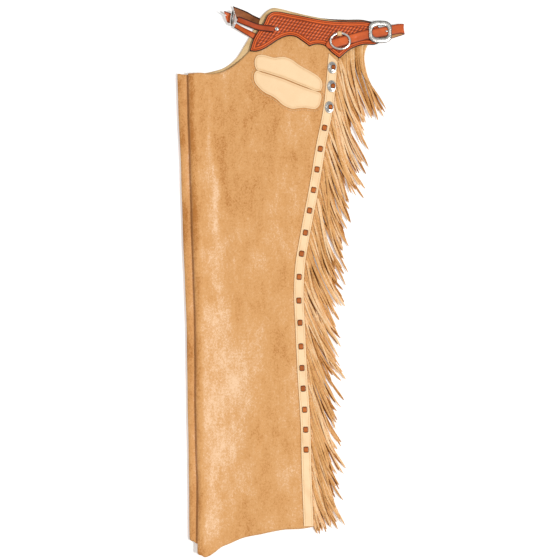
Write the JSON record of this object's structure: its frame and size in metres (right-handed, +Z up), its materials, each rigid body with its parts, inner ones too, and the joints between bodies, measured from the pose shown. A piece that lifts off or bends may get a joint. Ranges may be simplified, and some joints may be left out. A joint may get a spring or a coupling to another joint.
{
  "type": "leather chaps",
  "caption": "Fringed rough-out leather chaps with a tooled yoke, folded at the centre back and laid flat, one leg on the other.",
  "frame": {"origin": "centre of the bounding box's underside, on the surface that the folded chaps lie on", "axes": "+Y from the hem to the waist, +X from the inseam to the fringe, +Z up through the folded layers"},
  "size_m": [0.433, 1.045, 0.0322],
  "materials": {
    "suede": "rough-out, matt",
    "pale_leather": "smooth, satin",
    "tooled_leather": "stamped, dyed and burnished",
    "strap_leather": "smooth, dyed",
    "lace": "smooth, dyed",
    "silver": "bright engraved plate"
  },
  "bodies": {
    "root": {"leg_near": "suede", "leg_far": "suede", "fringe_near": "suede", "fringe_far": "suede", "patch_upper": "pale_leather", "patch_lower": "pale_leather", "side_strap": "pale_leather", "ring_tab": "pale_leather", "yoke_near": "tooled_leather", "yoke_far": "tooled_leather", "back_strap": "strap_leather", "front_billet": "strap_leather", "front_chape": "strap_leather", "front_strap": "strap_leather", "front_strap_tip": "strap_leather", "lace_01": "lace", "lace_02": "lace", "lace_03": "lace", "lace_04": "lace", "lace_05": "lace", "lace_06": "lace", "lace_07": "lace", "lace_08": "lace", "lace_09": "lace", "lace_10": "lace", "lace_11": "lace", "lace_12": "lace", "lace_13": "lace", "lace_14": "lace", "lace_15": "lace", "lace_16": "lace", "concho_lace_1": "lace", "concho_lace_2": "lace", "concho_lace_3": "lace", "concho_1": "silver", "concho_2": "silver", "concho_3": "silver", "hip_ring": "silver", "rear_buckle": "silver", "rear_buckle_tongue": "silver", "front_buckle": "silver", "front_buckle_tongue": "silver", "front_rivet": "silver"}
  },
  "joints": []
}
